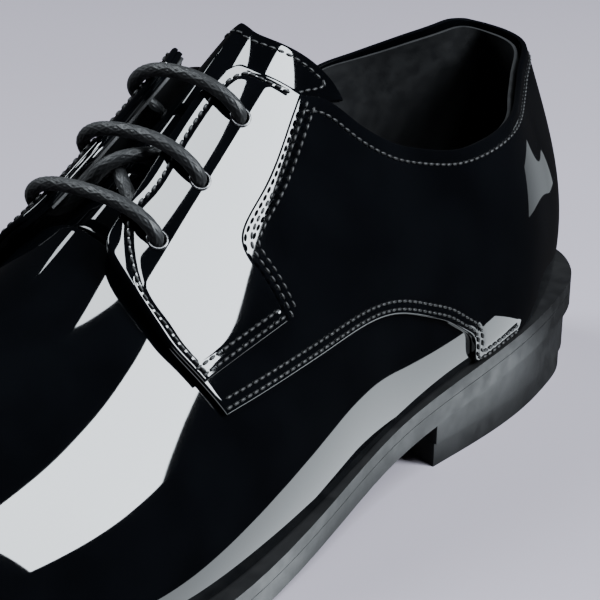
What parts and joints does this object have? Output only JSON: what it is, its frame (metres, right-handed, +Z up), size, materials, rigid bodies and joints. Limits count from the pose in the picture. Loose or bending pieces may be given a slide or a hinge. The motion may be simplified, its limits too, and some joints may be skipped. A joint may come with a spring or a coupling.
{
  "type": "derby shoe",
  "caption": "Plain-toe derby shoe for the left foot with open lacing over a hinged tongue, welted sole and low heel, worn for dress.",
  "frame": {"origin": "on the ground under the middle of the shoe's bounding box", "axes": "+X towards the toe, +Y towards the outer (lateral) side of a left foot, +Z up"},
  "size_m": [0.2922, 0.0962, 0.1102],
  "materials": {
    "patent_leather": "glossy patent, smooth",
    "lining_leather": "matte, slightly worn",
    "tongue_leather": "glossy patent, smooth",
    "lace_cotton": "round waxed braid",
    "lace_tip": "clear dipped tip",
    "eyelet_enamel": "gloss enamel",
    "sole_edge": "satin dark grey",
    "heel_edge": "satin dark grey",
    "insole_board": "matte fibre board",
    "cork": "granulated cork",
    "stiffener": "stiffened canvas",
    "steel": "plain"
  },
  "bodies": {
    "upper": {"vamp": "patent_leather", "quarter_lateral": "patent_leather", "quarter_medial": "patent_leather", "facing_lateral": "patent_leather", "facing_medial": "patent_leather", "vamp_lining": "lining_leather", "quarter_lining_lateral": "lining_leather", "quarter_lining_medial": "lining_leather", "sock_lining": "lining_leather", "toe_puff": "stiffener", "heel_counter": "stiffener", "insole": "insole_board", "cork_filler": "cork", "shank": "steel", "heel_nails": "steel", "welt": "sole_edge", "outsole": "sole_edge", "heel_block": "heel_edge", "heel_top_piece": "heel_edge", "eyelets_lateral": "eyelet_enamel", "eyelets_medial": "eyelet_enamel", "lace": "lace_cotton", "lace_tips": "lace_tip"},
    "tongue": {"tongue": "tongue_leather", "tongue_lining": "lining_leather"}
  },
  "joints": [
    {"name": "tongue_drop", "type": "hinge", "parent": "upper", "child": "tongue", "pos_m": [0.0333, 0, 0.062], "axis": [0, -1, 0], "range_deg": [0, 20], "stiffness_Nm_per_rad": 0.1, "springref_deg": -11.46}
  ]
}
